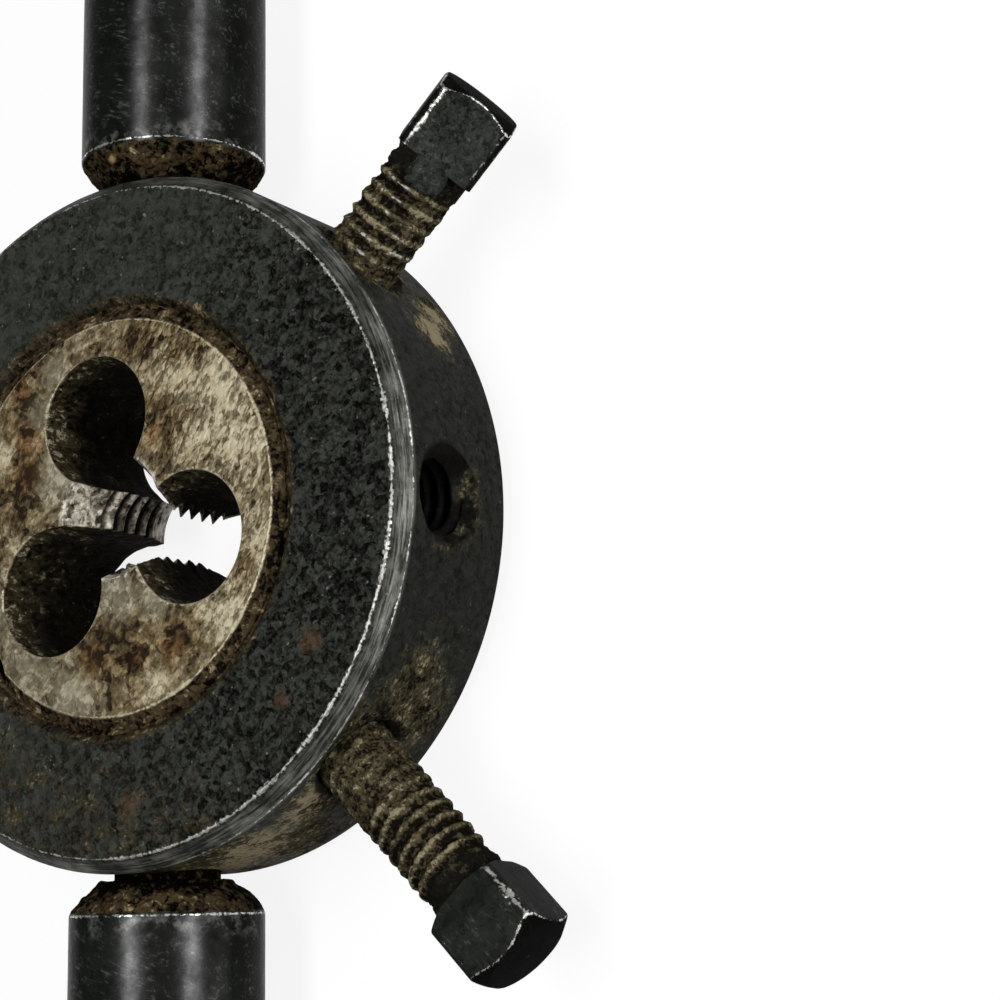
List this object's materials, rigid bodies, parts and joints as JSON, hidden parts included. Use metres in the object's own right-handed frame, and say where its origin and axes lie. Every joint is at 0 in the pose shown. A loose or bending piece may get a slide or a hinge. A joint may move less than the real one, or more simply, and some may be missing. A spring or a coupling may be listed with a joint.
{
  "type": "die stock with round threading die",
  "caption": "Round three-lobe threading die seated in a two-handled die stock with square-head set screws in its ring.",
  "frame": {"origin": "middle of the ring, on the axis of the die's cutting lands", "axes": "+Z along the die axis out of the open face of the die, +Y along the upper handle, +X towards the set screws"},
  "size_m": [0.0473, 0.225, 0.0114],
  "materials": {
    "blued_steel": "blued steel gone near black, with worn bright edges, dirt and light rust",
    "die_steel": "bare tool steel, ground face mottled with brown rust",
    "handle_steel": "blued steel with rub marks, rusty shoulder",
    "screw_steel": "blackened square head with worn corners, threads clogged with olive-brown dirt"
  },
  "bodies": {
    "stock": {"stock_ring": "blued_steel", "threading_die": "die_steel", "upper_handle": "handle_steel", "lower_handle": "handle_steel"},
    "upper_screw": {"upper_set_screw": "screw_steel"},
    "lower_screw": {"lower_set_screw": "screw_steel"}
  },
  "joints": [
    {"name": "upper_screw_turn", "type": "hinge", "parent": "stock", "child": "upper_screw", "pos_m": [0, 0, 0.00105], "axis": [0.7254, 0.6884, 0], "range_deg": [0, 1980]},
    {"name": "lower_screw_turn", "type": "hinge", "parent": "stock", "child": "lower_screw", "pos_m": [0, 0, 0.00105], "axis": [0.7009, -0.7133, 0], "range_deg": [-1390, 590]}
  ]
}
